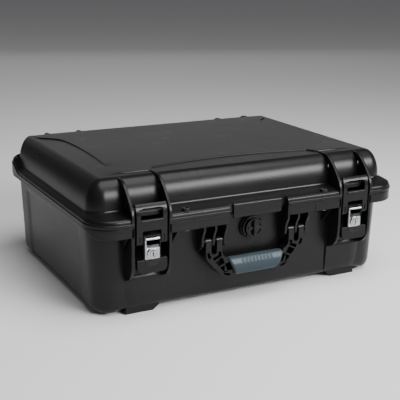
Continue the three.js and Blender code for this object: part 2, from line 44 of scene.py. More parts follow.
def studio_floor():
    reach = 9
    corners = [(-reach, -reach, 0), (reach, -reach, 0), (reach, reach, 0), (-reach, reach, 0)]
    mesh = bpy.data.meshes.new("studio_floor")
    mesh.from_pydata(corners, [], [(0, 1, 2, 3)])
    floor = bpy.data.objects.new("studio_floor", mesh)
    bpy.context.scene.collection.objects.link(floor)
    material = bpy.data.materials.new("pale_floor")
    material.use_nodes = True
    shader = material.node_tree.nodes["Principled BSDF"]
    shader.inputs["Base Color"].default_value = (0.86, 0.86, 0.86, 1)
    shader.inputs["Roughness"].default_value = 0.8
    mesh.materials.append(material)


def soft_lamp(name, place, aim, size, watts, spread=180):
    lamp = bpy.data.lights.new(name, "AREA")
    lamp.spread = math.radians(spread)
    lamp.shape = "RECTANGLE"
    lamp.size, lamp.size_y = size
    lamp.energy = watts
    holder = bpy.data.objects.new(name, lamp)
    holder.location = place
    holder.rotation_euler = (Vector(aim) - Vector(place)).to_track_quat("-Z", "Y").to_euler()
    bpy.context.scene.collection.objects.link(holder)


studio_floor()
soft_lamp("lamp_overhead", (0.3, -0.9, 2.3), (0.1, -0.4, 0), (2.4, 1.8), 66)
soft_lamp("lamp_front_right", (1.0, -1.8, 1.02), (0, -0.15, 0.2), (2.0, 0.5), 14, 70)
soft_lamp("lamp_back", (1.0, 3.1, 0.95), (0, 0.1, 0.2), (3.6, 0.9), 3.4)

world = bpy.data.worlds.new("studio")
world.use_nodes = True
world.node_tree.nodes["Background"].inputs["Color"].default_value = (0.97, 0.97, 1.0, 1)
world.node_tree.nodes["Background"].inputs["Strength"].default_value = 0.13
bpy.context.scene.world = world

heading = math.radians(27.8)
pitch = math.radians(15.75)
roll = math.radians(0.556)
ahead = Vector((math.sin(heading) * math.cos(pitch), math.cos(heading) * math.cos(pitch), -math.sin(pitch)))
level = Vector((math.cos(heading), -math.sin(heading), 0))
across = math.cos(roll) * level + math.sin(roll) * level.cross(ahead)
upward = across.cross(ahead)
lens = bpy.data.cameras.new("camera")
lens.sensor_width = 36
lens.lens = 80.14
camera = bpy.data.objects.new("camera", lens)
camera.matrix_world = Matrix((across, upward, -ahead)).transposed().to_4x4()
camera.location = (-0.7073, -1.3608, 0.5429)
bpy.context.scene.collection.objects.link(camera)
bpy.context.scene.camera = camera

# ---- Base of the case ----------------------------------------------------------------------------
# An injection-moulded polypropylene tub with drafted walls, a rolled bottom edge and a rim
# that the lid closes on. A deep band hangs from the rim along the front, and ribs, columns
# and feet are moulded with the walls.


class Wire:
    """One output of a shader node, which joins the maths of a finish."""

    def __init__(self, finish, socket):
        self.finish = finish
        self.socket = socket

    def _maths(self, operation, first, second):
        return self.finish.node("ShaderNodeMath", {"operation": operation}, {0: first, 1: second})

    def __add__(self, other):
        return self._maths("ADD", self, other)

    def __radd__(self, other):
        return self._maths("ADD", other, self)

    def __sub__(self, other):
        return self._maths("SUBTRACT", self, other)

    def __rsub__(self, other):
        return self._maths("SUBTRACT", other, self)

    def __mul__(self, other):
        return self._maths("MULTIPLY", self, other)

    def __rmul__(self, other):
        return self._maths("MULTIPLY", other, self)


class Finish:
    """A material whose look is worked out by nodes."""

    def __init__(self, name, **constants):
        self.material = bpy.data.materials.new(name)
        self.material.use_nodes = True
        self.tree = self.material.node_tree
        self.shader = self.tree.nodes["Principled BSDF"]
        for socket, value in constants.items():
            self.shader.inputs[socket.replace("_", " ")].default_value = value

    def node(self, kind, settings=None, sockets=None, output=0):
        made = self.tree.nodes.new(kind)
        for key, value in (settings or {}).items():
            setattr(made, key, value)
        for key, value in (sockets or {}).items():
            self._feed(made.inputs[key], value)
        return Wire(self, made.outputs[output])

    def _feed(self, socket, value):
        if isinstance(value, Wire):
            self.tree.links.new(value.socket, socket)
        else:
            socket.default_value = value

    def feed(self, socket, value):
        self._feed(self.shader.inputs[socket], value)

    def place(self):
        return self.node("ShaderNodeTexCoord", output="Object")

    def noise(self, place, scale, detail=3, roughness=0.5, stretch=(1, 1, 1)):
        spread = self.node("ShaderNodeMapping", {}, {"Vector": place, "Scale": stretch})
        return self.node("ShaderNodeTexNoise", {}, {
            "Vector": spread, "Scale": scale, "Detail": detail, "Roughness": roughness})

    def between(self, value, low, high):
        return self.node("ShaderNodeMapRange", {"interpolation_type": "SMOOTHSTEP"}, {
            "Value": value, "From Min": low, "From Max": high})

    def blend(self, factor, first, second):
        return self.node("ShaderNodeMix", {"data_type": "RGBA"}, {
            "Factor": factor, 6: first, 7: second}, output=2)

    def relief(self, height, depth, strength):
        return self.node("ShaderNodeBump", {}, {"Height": height, "Distance": depth, "Strength": strength})


def moulded_plastic(name, dark, light, shine):
    """Black moulded plastic: a fine spark-eroded grain, faint flow shading and slightly rubbed patches."""
    grain_depth = 0.00006
    finish = Finish(name, IOR=1.32)
    place = finish.place()
    grit = finish.noise(place, 2600, 2, 0.6)
    pebble = finish.noise(place, 900, 3, 0.55)
    flow = finish.noise(place, 5, 4, 0.6, (1, 1, 2.5))
    lightened = finish.between(finish.noise(place, 38, 5, 0.65), 0.52, 0.78)
    shade = finish.between(flow, 0.3, 0.7)
    finish.feed("Base Color", finish.blend(shade * 0.6 + lightened * 0.35, dark, light))
    finish.feed("Roughness", shine + (grit - 0.5) * 0.10 + (flow - 0.5) * 0.10 - lightened * 0.05)
    finish.feed("Normal", finish.relief(grit * 0.45 + pebble * 0.55, grain_depth, 0.8))
    return finish.material


shell_plastic = moulded_plastic(
    "moulded_shell", (0.0042, 0.0042, 0.0045, 1), (0.0085, 0.0085, 0.009, 1), 0.31)

MM = 0.001
WALL = 4
FIN = 5  # thickness of the fins beside the latches and the hinges
BAY = 185.5  # middle of each latch bay
BAY_HALF = 28
HINGE = 178  # middle of each hinge
HINGE_HALF = 30.5
HINGE_Y = 219.1
HINGE_Z = 150
NOTCH_HALF = 53  # finger notch behind the handle
EYELET_X = 126
VALVE_Z = 117
BAND_LOW = 134
RIM_TOP = 149.9
REAR_CUT = 211.6  # where the rim and the lip stop short at a hinge
BOTTOM = 9  # height of the underside, which the feet hold clear of the floor
BOTTOM_ROLL = 14

# Lines of the mesh along the case, in pairs where the rim or the lip steps back.
STEPS = (NOTCH_HALF, HINGE - HINGE_HALF, BAY - BAY_HALF, HINGE + HINGE_HALF, BAY + BAY_HALF)
HALF_COLUMNS = sorted([18, 36, 72, 90, 107.2, 107.8, 124, 140, 168, 178, 193, 203, 222,
                       *(step - 0.2 for step in STEPS), *(step + 0.2 for step in STEPS)])
SHELL_COLUMNS = [*(-x for x in reversed(HALF_COLUMNS)), 0, *HALF_COLUMNS]

# Lines of the mesh from front to rear, close together where the end panels are pressed in.
SHELL_ROWS = [-140, -136, -131, -127, -123, -118, -104, *range(-78, 105, 26), 121, 125, 130, 135, 139, 148]


def outline(half, front, rear, radius, z, rear_radius=None):
    """A rounded rectangle at height z, anticlockwise from its front left, in millimetres."""
    def bend(x, y, start, r):
        turns = [math.radians(start + 90 * i / 15) for i in range(1, 15)]
        return [(x + r * math.cos(t), y + r * math.sin(t)) for t in turns]

    wide = rear_radius or radius
    low = front + radius
    high = rear - wide
    loop = [(radius - half, front), *[(x, front) for x in SHELL_COLUMNS], (half - radius, front)]
    loop += bend(half - radius, low, -90, radius)
    loop += [(half, low), *[(half, y) for y in SHELL_ROWS], (half, high)]
    loop += bend(half - wide, high, 0, wide)
    loop += [(half - wide, rear), *[(x, rear) for x in reversed(SHELL_COLUMNS)], (wide - half, rear)]
    loop += bend(wide - half, high, 90, wide)
    loop += [(-half, high), *[(-half, y) for y in reversed(SHELL_ROWS)], (-half, low)]
    loop += bend(radius - half, low, 180, radius)
    return [(x, y, z) for x, y in loop]


def bridged(solid, rows, closed=True):
    """Joins each row of points to the next with faces. A closed row comes round to its first point."""
    for one, two in zip(rows, rows[1:]):
        for i in range(len(one) if closed else len(one) - 1):
            j = (i + 1) % len(one)
            solid.faces.new((one[i], one[j], two[j], two[i]))


def lofted(loops, flat, shape):
    """A closed skin through the loops. The first and the last have square corners, and flat is their size."""
    skin = bmesh.new()
    bridged(skin, [[skin.verts.new(shape(*point)) for point in loop] for loop in loops])
    half, front, rear = flat
    columns = [-half, *SHELL_COLUMNS, half]
    rows = [front, *SHELL_ROWS, rear]
    for loop in (loops[0], loops[-1]):
        z = loop[0][2]
        bridged(skin, [[skin.verts.new(shape(x, y, z)) for x in columns] for y in rows], closed=False)
    bmesh.ops.remove_doubles(skin, verts=skin.verts[:], dist=0.0005)
    bmesh.ops.dissolve_degenerate(skin, edges=skin.edges[:], dist=0.0002)
    bmesh.ops.recalc_face_normals(skin, faces=skin.faces[:])
    return skin


def swept(rings):
    """A closed solid through rings of points, flat at both ends."""
    solid = bmesh.new()
    rows = [[solid.verts.new(point) for point in ring] for ring in rings]
    bridged(solid, rows)
    solid.faces.new(rows[0])
    solid.faces.new(list(reversed(rows[-1])))
    bmesh.ops.recalc_face_normals(solid, faces=solid.faces[:])
    return solid


def soften(solid, width, segments=2, sharper=28):
    """Rounds the edges of a solid that are sharper than the given angle."""
    sharp = math.radians(sharper)
    edges = [e for e in solid.edges if len(e.link_faces) == 2 and e.calc_face_angle(0) > sharp]
    bmesh.ops.bevel(solid, geom=edges, offset=width, segments=segments, profile=0.5, affect="EDGES",
                    clamp_overlap=True)
    return solid


def prism(points, across_axis, low, high, round_edges=0.0):
    """A plate whose outline is drawn square to an axis, from low to high along that axis."""
    place = {
        "x": lambda a, b, t: (t, a, b),
        "y": lambda a, b, t: (a, t, b),
        "z": lambda a, b, t: (a, b, t),
    }[across_axis]
    solid = bmesh.new()
    near = [solid.verts.new(place(a, b, low)) for a, b in points]
    far = [solid.verts.new(place(a, b, high)) for a, b in points]
    solid.faces.new(near)
    solid.faces.new(list(reversed(far)))
    for i in range(len(points)):
        j = (i + 1) % len(points)
        solid.faces.new((near[i], far[i], far[j], near[j]))
    bmesh.ops.recalc_face_normals(solid, faces=solid.faces[:])
    if round_edges:
        soften(solid, round_edges)
    return solid


def block(x0, x1, y0, y1, z0, z1, round_edges=0.0):
    return prism([(x0, y0), (x1, y0), (x1, y1), (x0, y1)], "z", z0, z1, round_edges)


def disc(a, b, radius, count=32):
    turns = [2 * math.pi * i / count for i in range(count)]
    return [(a + radius * math.cos(t), b + radius * math.sin(t)) for t in turns]


def rounded(a0, a1, b0, b1, radius):
    """The outline of a rectangle with rounded corners; radius is one number, or one for each corner."""
    steps = 5
    radii = radius if isinstance(radius, tuple) else (radius,) * 4
    corners = [(a0, b0, 180), (a1, b0, 270), (a1, b1, 0), (a0, b1, 90)]
    points = []
    for (a, b, start), r in zip(corners, radii):
        ca = a + r if a == a0 else a - r
        cb = b + r if b == b0 else b - r
        if r < 0.01:
            points.append((a, b))
            continue
        for i in range(steps + 1):
            turn = math.radians(start + 90 * i / steps)
            points.append((ca + r * math.cos(turn), cb + r * math.sin(turn)))
    return points


def as_object(solid, name):
    mesh = bpy.data.meshes.new(name)
    solid.to_mesh(mesh)
    solid.free()
    made = bpy.data.objects.new(name, mesh)
    bpy.context.scene.collection.objects.link(made)
    return made


def combined(solid, tools, operation):
    """One solid cut by, or fused with, the others."""
    target = as_object(solid, "worked")
    helpers = [as_object(tool, "tool") for tool in tools]
    for helper in helpers:
        step = target.modifiers.new("step", "BOOLEAN")
        step.operation = operation
        step.solver = "EXACT"
        step.object = helper
    bpy.context.view_layer.update()
    result = bpy.data.meshes.new_from_object(target.evaluated_get(bpy.context.evaluated_depsgraph_get()))
    made = bmesh.new()
    made.from_mesh(result)
    for used in [target, *helpers]:
        bpy.data.objects.remove(used)
    bmesh.ops.remove_doubles(made, verts=made.verts[:], dist=0.0005)
    bmesh.ops.dissolve_limit(made, angle_limit=math.radians(1), verts=made.verts[:], edges=made.edges[:])
    return made


def carved(solid, *tools):
    return combined(solid, tools, "DIFFERENCE")


def fused(solid, *others):
    return combined(solid, others, "UNION")


def piece(name, body, material, solids, replaces, smooth=35, tidy_normals=True):
    """Puts the solids together as one piece of the case that moves with a body."""
    whole = bmesh.new()
    for solid in solids:
        part = bpy.data.meshes.new("part")
        solid.to_mesh(part)
        solid.free()
        whole.from_mesh(part)
        bpy.data.meshes.remove(part)
    bmesh.ops.scale(whole, vec=(MM, MM, MM), verts=whole.verts[:])
    mesh = bpy.data.meshes.new(name)
    whole.to_mesh(mesh)
    whole.free()
    mesh.shade_smooth()
    mesh.set_sharp_from_angle(angle=math.radians(smooth))
    mesh.materials.append(material)
    made = bpy.data.objects.new(name, mesh)
    bpy.context.scene.collection.objects.link(made)
    if tidy_normals:
        evened = made.modifiers.new("even_shading", "WEIGHTED_NORMAL")
        evened.keep_sharp = True
    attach(made, body)
    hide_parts(*replaces)
    return made


def mix(a, b, t):
    return a + (b - a) * t


def ease(value, low, high):
    t = min(max((value - low) / (high - low), 0), 1)
    return t * t * (3 - 2 * t)


def bay_at(x):
    return abs(abs(x) - BAY) < BAY_HALF


def hinge_at(x):
    return abs(abs(x) - HINGE) < HINGE_HALF


def base_shaped(x, y, z):
    """Cuts the rim back at latches, notch and hinges, presses in the end panels and sags the corners."""
    front_cut = -209.2
    if z > 140:
        if y < front_cut and (bay_at(x) or abs(x) < NOTCH_HALF):
            y = front_cut
        if y > REAR_CUT and hinge_at(x):
            y = REAR_CUT
    if z < BOTTOM + BOTTOM_ROLL:
        sag = 4 * ease(abs(x), 215, 245) * ease(abs(y - 5), 150, 175)
        z -= sag * (1 - (z - BOTTOM) / BOTTOM_ROLL)
    if abs(x) > 250 and z < 132:
        panel = ease(y, -136, -118) * (1 - ease(y, 121, 139)) * (1 - ease(z, 126, 128))
        x -= math.copysign(1.9 * panel, x)
    return x, y, z


def tub_loop(z, inset=0.0):
    """A loop of the wall, which is drafted so that it leans out towards the rim."""
    below_rim = 1 - min(max((z - 25) / 125, 0), 1)
    draft = 4.4 * below_rim
    return outline(268.4 - draft - inset, -194.3 + draft + inset, 204 - draft - inset,
                   40 - inset - 2 * below_rim, z)


def base_skin():
    """The outside from the underside up to the rim, and back down the inside to the floor."""
    flat = (216, -142, 151)
    floor = 13.4
    loops = [outline(*flat, 0.001, BOTTOM), outline(252.5, -178.4, 188, 27, BOTTOM)]
    for i in range(1, 8):
        turn = math.radians(90 * i / 7)
        loops.append(tub_loop(BOTTOM + BOTTOM_ROLL * (1 - math.cos(turn)), 9 * (1 - math.sin(turn))))
    loops += [tub_loop(z) for z in (26.5, 29.5, 50, 75, 100, 125.5, 128.5, 136, 144.6)]
    loops.append(outline(269.4, -195.3, 205, 40, 145.5))
    for inset, z in ((0.7, 145.5), (0, 146.2), (0, 149.2), (0.2, 149.7), (0.7, RIM_TOP)):
        loops.append(outline(279 - inset, -221 + inset, 214.5 - inset, 44 - inset, z))
    loops.append(outline(276, -210, REAR_CUT, 42, RIM_TOP))
    loops.append(outline(264.6, -190.5, 200.2, 36.4, RIM_TOP))
    loops.append(outline(264.2, -190.1, 199.8, 36, 149.5))
    loops += [tub_loop(z, WALL) for z in (120, 80, 40)]
    for i in range(6):
        turn = math.radians(90 * i / 5)
        loops.append(tub_loop(floor + 10 * (1 - math.sin(turn)), WALL + 8 * (1 - math.cos(turn))))
    loops.append(outline(*flat, 0.001, floor))
    return lofted(loops, flat, base_shaped)


def band_lower_edge(y):
    """The band is deep along the front and runs out on the ends of the case."""
    return mix(BAND_LOW, 145.2, ease(y, -214, -178))


def front_band():
    """The deep band under the rim, in lengths that stop at the latches and at the finger notch."""
    front, top = -221, 146
    corner = [(-279, -165)]
    for i in range(25):
        turn = math.radians(90 * i / 24)
        corner.append((-(235 + 44 * math.cos(turn)), -177 - 44 * math.sin(turn)))
    spans = [[*corner, (-222, front), (-BAY - BAY_HALF - 0.1, front)],
             [(-BAY + BAY_HALF + 0.1, front), (-146, front), (-126, front), (-106.6, front)],
             [(-106.0, -220.6), (-80, -220.6), (-53.2, -220.6)]]
    lengths = []
    for side in (1, -1):
        for span in spans:
            rings = []
            for n, (x, y) in enumerate(span):
                before = span[max(n - 1, 0)]
                after = span[min(n + 1, len(span) - 1)]
                along = Vector((after[0] - before[0], after[1] - before[1])).normalized()
                inward = Vector((-along.y, along.x))
                low = band_lower_edge(y)
                section = ((0, top), (0, low + 0.9), (0.9, low), (2.6, low), (3.2, low + 0.6), (3.2, top))
                rings.append([(side * (x + inward.x * depth), y + inward.y * depth, z)
                              for depth, z in section])
            lengths.append(swept(rings))
    return lengths


def both_sides(near, far, outline_yz, round_edges):
    """Two like plates, one each side of the case, from near to far off its middle."""
    return [prism(outline_yz, "x", *sorted((side * near, side * far)), round_edges) for side in (-1, 1)]


def foot_column(profile, side, end):
    """A shallow column over a foot, with a crisp step towards the middle of the case and a faded far side."""
    front_plus_rear = 9.7
    outward = ((150, 1.4), (150.6, 0.4), (152, 0), (200, 0), (206, 0.4), (212, 1.5), (218, 3.0), (224, 4.6))
    rings = []
    for x, sink in outward:
        points = [(min(y + sink, -180), z) for y, z in profile]
        rings.append([(side * x, y if end < 0 else front_plus_rear - y, z) for y, z in points])
    return swept(rings)


def base_ribs():
    latch_fin = [(-190, 149.2), (-190, 57), (-196, 60), (-203, 62.6), (-209, 66), (-214, 71), (-217.4, 77),
                 (-219.6, 84), (-220.6, 92), (-221, 104), (-221, 149.2)]
    column = [(-180, 11), (-185.5, 11), (-190.4, 16), (-192.6, 26), (-194.4, 56), (-194, 62), (-191, 66),
              (-186, 66)]
    rear_rib = [(199, 149.2), (214.2, 149.2), (214.2, 140), (206, 118), (199, 112)]
    gusset = [(-190, 148), (-190, 106), (-194, 107.5), (-218.6, 135), (-218.6, 148)]
    bracket = [(-190, 148), (-190, 88), (-196, 88.5), (-206, 95), (-210.5, 100), (-211.3, 104), (-211.5, 112),
               (-214, 119), (-218.4, 127), (-218.4, 148)]
    made = []
    for near in (-BAY_HALF - FIN, BAY_HALF):
        made += both_sides(BAY + near, BAY + near + FIN, latch_fin, 1.0)
        made += both_sides(HINGE + near, HINGE + near + FIN, rear_rib, 0.6)
    made += [foot_column(column, side, end) for side in (-1, 1) for end in (-1, 1)]
    for x in (140, 223):
        made += both_sides(x - 1.6, x + 1.6, gusset, 0.5)
    for x in (56.5, 76, 95.5):
        made += both_sides(x - 2, x + 2, bracket, 0.7)
    foot = [(169, 0.2), (215.5, 0.2), (216.5, 1.2), (213.5, 12), (157.5, 12), (158.5, 8)]
    for low, high in ((-186, -157.5), (167.5, 195.5)):
        made += [prism([(side * x, z) for x, z in foot], "y", low, high, 1.2) for side in (-1, 1)]
    made += [prism(disc(side * EYELET_X, -213, 6.6), "z", BAND_LOW, 148, 0.8) for side in (-1, 1)]
    return made


def hinge_knuckle(x, arm_y, arm_z0, arm_z1):
    """A barrel round the hinge pin, and the arm that joins it to the shell."""
    half = 5
    barrel = prism(disc(HINGE_Y, HINGE_Z, 5.45, 28), "x", x - half, x + half, 0.5)
    arm = block(x - half, x + half, arm_y, HINGE_Y, arm_z0, arm_z1, 0.4)
    return [barrel, arm]


valve_boss = prism(disc(0, VALVE_Z, 21, 48), "y", -197.3, -189, 1.0)
base_solids = [base_skin(), *front_band(), *base_ribs(), valve_boss]
for side in (-1, 1):
    for step in (-24, 0, 24):
        base_solids += hinge_knuckle(side * HINGE + step, 205, 144.6, 149.2)
piece("base_moulding", "base", shell_plastic, base_solids, ["base_shell"])

# ---- Lid -----------------------------------------------------------------------------------------
# The other half of the moulding: a crown with a rolled edge rises from a sloping shelf, and
# the flat of the lid carries a raised panel with bowed sides. Fins run from the flat over
# the roll to the lip beside each latch.

LID_LOW = 150.6
LID_FLAT = (243, -162, 182)  # half width, front and rear of the flat of the lid
FLAT_Z = 214.6
PANEL_HALF = 200
PANEL_FRONT = -116
ROLL = 26  # reach of the rolled top edge along the front and the ends
REAR_ROLL = 12
ROLL_RISE = 44
REAR_CORNER = 33


def lip_loop(inset, z):
    return outline(280 - inset, -222 + inset, 216 - inset, 45 - inset, z)


def crown_loop(inset, z, wall=0):
    """A loop of the crown, or of its inner face, whose rear corners are wider than its front ones."""
    roll = ROLL - wall
    remaining = max(1 - inset / roll, 0.0001)
    rear = 194 - wall - inset * (REAR_ROLL - wall) / roll
    return outline(269 - wall - inset, -188 + wall + inset, rear, roll * remaining, z,
                   (REAR_CORNER - wall) * remaining)


def shelf_loop(t, z):
    """A loop on the shelf, t of the way from the rounded lip to the foot of the crown."""
    return outline(mix(274, 269, t), mix(-216, -188, t), mix(210, 194, t), mix(39, ROLL, t), z,
                   mix(39, REAR_CORNER, t))


def lid_shaped(x, y, z):
    """Cuts the lip back at latches, notch and hinges, and makes it taller along the rear."""
    front_cut = -212
    if z < 167:
        if y < front_cut and (bay_at(x) or abs(x) < NOTCH_HALF):
            y = front_cut
        if y > REAR_CUT and hinge_at(x):
            y = REAR_CUT
    if 155 < z < 172 and (abs(x) > 268.9 or abs(y - 3) > 190.9):
        z += 15 * ease(y, 140, 176)
    return x, y, z


def panel_half(y):
    """Half the width of the raised panel, whose sides are bowed and spread towards the rear."""
    return min(PANEL_HALF + 0.00083 * (y - 40) ** 2 + 34.6 * max((y - 95) / 62, 0) ** 3, 238)


def panel_front(x):
    """The front edge of the panel, bowed in the middle and further forward beside and beyond the fins."""
    return mix(PANEL_FRONT - 16 * (x / 145) ** 2, -148, ease(abs(x), 146, 151))


def lid_flat():
    """The flat of the lid, as a grid whose lines follow the crisp step round the raised panel."""
    half, front, rear = LID_FLAT
    middle = (front + rear) / 2
    crisp, lift = 1.1, 1.8
    fine = (-3, -1.5, -1, -0.5, 0, 0.5, 1, 1.5, 3)
    beside_fins = (146, 147.5, 149, 151)
    columns = [*(PANEL_HALF + d for d in fine), *beside_fins, 238, 241, half]
    columns += [x for x in range(6, 229, 6) if x != 198]
    columns = sorted({*columns, *(-x for x in columns), 0})
    rows = sorted({*(PANEL_FRONT + d for d in fine), front, -160, -156, *range(-150, 169, 6), 176, 179, rear})
    flat = bmesh.new()
    grid = []
    for row in rows:
        line = []
        for column in columns:
            side_share = min((half - abs(column)) / (half - PANEL_HALF), 1) * ease(abs(column), 100, 200)
            x = column + math.copysign((panel_half(row) - PANEL_HALF) * side_share, column)
            front_share = min((row - front) / (PANEL_FRONT - front), 1) * (1 - ease(row, -60, 60))
            y = row + (panel_front(x) - PANEL_FRONT) * front_share
            side_width = mix(crisp, 40, max(ease(-y, 84, 104), ease(y, 152, 170)))
            front_width = mix(crisp, 24, ease(abs(x), 200, 214))
            raised = lift * ease(PANEL_HALF - abs(column), -side_width, side_width)
            raised *= ease(row - PANEL_FRONT, -front_width, front_width)
            away = min(half - abs(x), y - front, rear - y)
            crowned = 0.15 * (1 - (x / half) ** 2) * (1 - ((y - middle) / (rear - middle)) ** 2)
            line.append(flat.verts.new((x, y, FLAT_Z + raised * ease(away, 0, 6) + crowned)))
        grid.append(line)
    bridged(flat, grid, closed=False)
    return flat


def lid_skin():
    """The inside of the lid, the lip with its gasket groove, the shelf and the crown up to the flat."""
    roll, ceiling = ROLL - WALL, 210.4
    loops = [outline(*LID_FLAT, 0.001, ceiling)]
    for i in range(1, 9):
        turn = math.radians(90 * i / 8)
        loops.append(crown_loop(roll * (1 - math.sin(turn)), ceiling - roll + roll * math.cos(turn), WALL))
    loops.append(crown_loop(0, 166, WALL))
    loops += [outline(*size) for size in (
        (264.4, -190.3, 200, 36, 161), (264.4, -190.3, 200, 36, LID_LOW + 0.4),
        (264.8, -190.7, 200.4, 36.4, LID_LOW), (269.5, -194, 205.5, 35, LID_LOW),
        (269.5, -194, 205.5, 35, 153.6), (274.5, -199, 210.5, 40, 153.6),
        (274.5, -199, 210.5, 40, LID_LOW), (275.6, -202.6, 211.4, 41, LID_LOW),
        (275.6, -203, 211.4, 41, 154.9), (276.4, -209, 211.5, 42, 154.6),
        (276.4, -209.4, 211.5, 42, LID_LOW))]
    loops += [lip_loop(inset, z) for inset, z in (
        (0.9, LID_LOW), (0.25, 150.85), (0, 151.5), (0, 155.1), (0.3, 155.8), (0.9, 156.4), (1.7, 156.6),
        (2.0, 159.6), (3.2, 161.8), (6.0, 163.6))]
    loops += [shelf_loop(t, z) for t, z in (
        (0.35, 165.1), (0.7, 166.6), (0.9, 167.5), (0.97, 168.3), (1.0, 169.8))]
    for i in range(13):
        turn = math.radians(90 * i / 12)
        loops.append(crown_loop(ROLL * (1 - math.cos(turn)), FLAT_Z - ROLL_RISE + ROLL_RISE * math.sin(turn)))
    skin = lofted(loops, LID_FLAT, lid_shaped)
    top = [f for f in skin.faces if all(abs(v.co.z - FLAT_Z) < 0.01 for v in f.verts)]
    bmesh.ops.delete(skin, geom=top, context="FACES")
    return skin


def lid_fins():
    front_fin = [(-150, 208), (-186, 200), (-186, 152), (-221.4, 152), (-222.2, 160), (-222.2, 166),
                 (-220, 172.5), (-217, 178), (-213, 184), (-209, 189.5), (-204, 195.5), (-199, 201),
                 (-193, 206.6), (-187, 211), (-180, 214.4), (-173, 216), (-162, 216.5), (-146, 215.6)]
    rear_fin = [(148, 215.2), (162, 216.2), (178, 216.5), (188, 216.2), (194, 214.9), (199, 212.4),
                (203, 209), (206.5, 204.2), (209.6, 198), (212, 191), (214.2, 182), (215.3, 172),
                (215.3, 152), (196, 152), (189, 164), (189, 200), (150, 208)]
    sunk_fin = [(y, min(z, 214.4 - 0.06 * max(-y - 162, 0))) for y, z in front_fin]
    made = both_sides(BAY - BAY_HALF - FIN, BAY - BAY_HALF, front_fin, 1.3)
    made += both_sides(BAY + BAY_HALF, BAY + BAY_HALF + FIN, sunk_fin, 1.3)
    made += both_sides(HINGE - BAY_HALF - FIN, HINGE - BAY_HALF, rear_fin, 1.3)
    made += both_sides(HINGE + BAY_HALF, HINGE + BAY_HALF + FIN, rear_fin, 1.3)
    return made


def lid_front_details():
    """The strikes that the latches pull on, the blank block in the middle, and the padlock bosses."""
    strike = [(-203, 160), (-203, 167), (-204.4, 170), (-206.6, 171.3), (-209.4, 171.4), (-211.3, 170),
              (-212, 167), (-212, 152), (-207, 152)]
    made = both_sides(BAY - BAY_HALF - 0.5, BAY + BAY_HALF + 0.5, strike, 0.5)
    middle = [(-203, 152), (-212.2, 152), (-212.2, 141.2), (-215.6, 141.2), (-215.8, 146), (-215.8, 161),
              (-214.6, 163.6), (-211, 165), (-203, 165.6)]
    made.append(prism(middle, "x", -44, 44, 1.1))
    for side in (-1, 1):
        place = (side * EYELET_X, -213.4)
        boss = prism(disc(*place, 6.0), "z", 155, 167.5, 0.9)
        made.append(carved(boss, prism(disc(*place, 4.9), "z", 164, 176)))
    return made


lid_solids = [lid_skin(), lid_flat(), *lid_fins(), *lid_front_details()]
for side in (-1, 1):
    for step in (-12, 12):
        lid_solids += hinge_knuckle(side * HINGE + step, 207, 151.2, 155.4)
piece("lid_moulding", "lid", shell_plastic, lid_solids, ["lid_shell"])

# ---- Hinge, handle and latch pins ----------------------------------------------------------------
# Drawn stainless rod, cut to length and pressed through the moulded knuckles of the hinges, the arms of
# the handle, the latch levers and their claws. The ends are slightly rounded.


def drawn_steel(name, tone, shine, bright=(0.86, 0.87, 0.88, 1)):
    """Bright steel with the fine lines of drawing and a slight unevenness of polish."""
    finish = Finish(name, Metallic=1.0)
    place = finish.place()
    lines = finish.noise(place, 1400, 2, 0.5, (0.06, 1, 1))
    haze = finish.noise(place, 120, 4, 0.6)
    finish.feed("Base Color", finish.blend(finish.between(haze, 0.35, 0.7), tone, bright))
    finish.feed("Roughness", shine + (lines - 0.5) * 0.14 + (haze - 0.5) * 0.12)
    finish.feed("Normal", finish.relief(lines, 0.00002, 0.5))
    return finish.material


def fitted(names, material, edge_width):
    """Gives pieces that keep their plain form a material and slightly rounded edges."""
    for name in names:
        fitting = bpy.data.objects[name]
        fitting.data.materials.clear()
        fitting.data.materials.append(material)
        edge = fitting.modifiers.new("rounded_edge", "BEVEL")
        edge.width = edge_width
        edge.segments = 2
        edge.limit_method = "ANGLE"
        edge.angle_limit = math.radians(50)


steel = drawn_steel("bright_steel", (0.66, 0.67, 0.69, 1), 0.24)
for end in ("left", "right"):
    fitted([f"hinge_pin_{end}", f"handle_pin_{end}", f"lever_pin_{end}", f"claw_pin_{end}"], steel, 0.0003)

# ---- Padlock eyelets -----------------------------------------------------------------------------
# Stamped stainless tubes with a rolled collar, pressed into the lid and
# the base where a padlock goes through.

dull_steel = drawn_steel("dull_steel", (0.10, 0.10, 0.11, 1), 0.42, (0.20, 0.20, 0.21, 1))
for end in ("left", "right"):
    fitted([f"lid_eyelet_{end}", f"base_eyelet_{end}"], dull_steel, 0.0002)

# ---- Gasket --------------------------------------------------------------------------------------
# A round-backed neoprene cord, joined into a ring and pressed into the groove under the lid. It seals on
# the rim of the base when the latches pull the lid down.


def soft_rubber(name, dark, light, shine):
    finish = Finish(name)
    place = finish.place()
    skin = finish.noise(place, 700, 4, 0.6)
    bloom = finish.noise(place, 24, 4, 0.55)
    finish.feed("Base Color", finish.blend(finish.between(bloom, 0.35, 0.7), dark, light))
    finish.feed("Roughness", shine + (skin - 0.5) * 0.12)
    finish.feed("Normal", finish.relief(skin, 0.00008, 0.7))
    return finish.material


seal_rubber = soft_rubber("seal_rubber", (0.010, 0.010, 0.010, 1), (0.022, 0.022, 0.023, 1), 0.62)


def seal_ring():
    """The cord, as loops round its section that close on the first."""
    loops = [outline(274.5 - inset, -199 + inset, 210.5 - inset, 40 - inset, z) for inset, z in (
        (0.4, 153.2), (0.4, 151.4), (0.9, 150.75), (2.5, 150.45), (4.1, 150.75), (4.6, 151.4), (4.6, 153.2))]
    ring = bmesh.new()
    rows = [[ring.verts.new(point) for point in loop] for loop in loops]
    bridged(ring, [*rows, rows[0]])
    bmesh.ops.recalc_face_normals(ring, faces=ring.faces[:])
    return ring


piece("lid_seal", "lid", seal_rubber, [seal_ring()], ["lid_gasket"])

